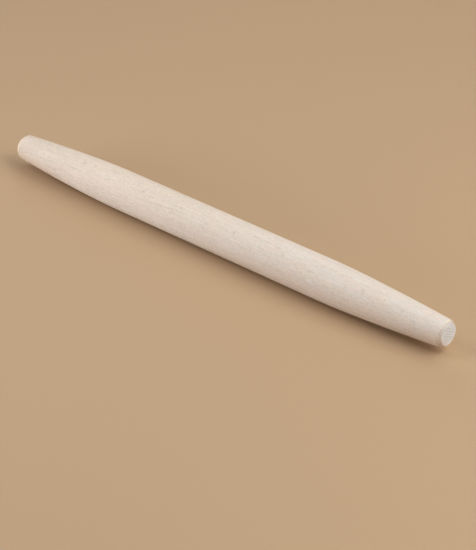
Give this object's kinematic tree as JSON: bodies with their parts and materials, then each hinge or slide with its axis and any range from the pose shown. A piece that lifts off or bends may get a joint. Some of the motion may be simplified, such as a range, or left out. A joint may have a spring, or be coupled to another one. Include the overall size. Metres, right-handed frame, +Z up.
{
  "type": "french rolling pin",
  "caption": "French rolling pin: a single turned beech rod with a straight barrel, long crowned tapers and bevelled flat ends, for rolling dough by hand.",
  "frame": {"origin": "the middle of the turning axis, halfway between the two flat ends", "axes": "+X along the pin's axis, +Z up as it lies on a table, +Y across the pin"},
  "size_m": [0.508, 0.038, 0.038],
  "materials": {
    "beech": "matte"
  },
  "bodies": {
    "root": {"rolling_pin": "beech"}
  },
  "joints": []
}
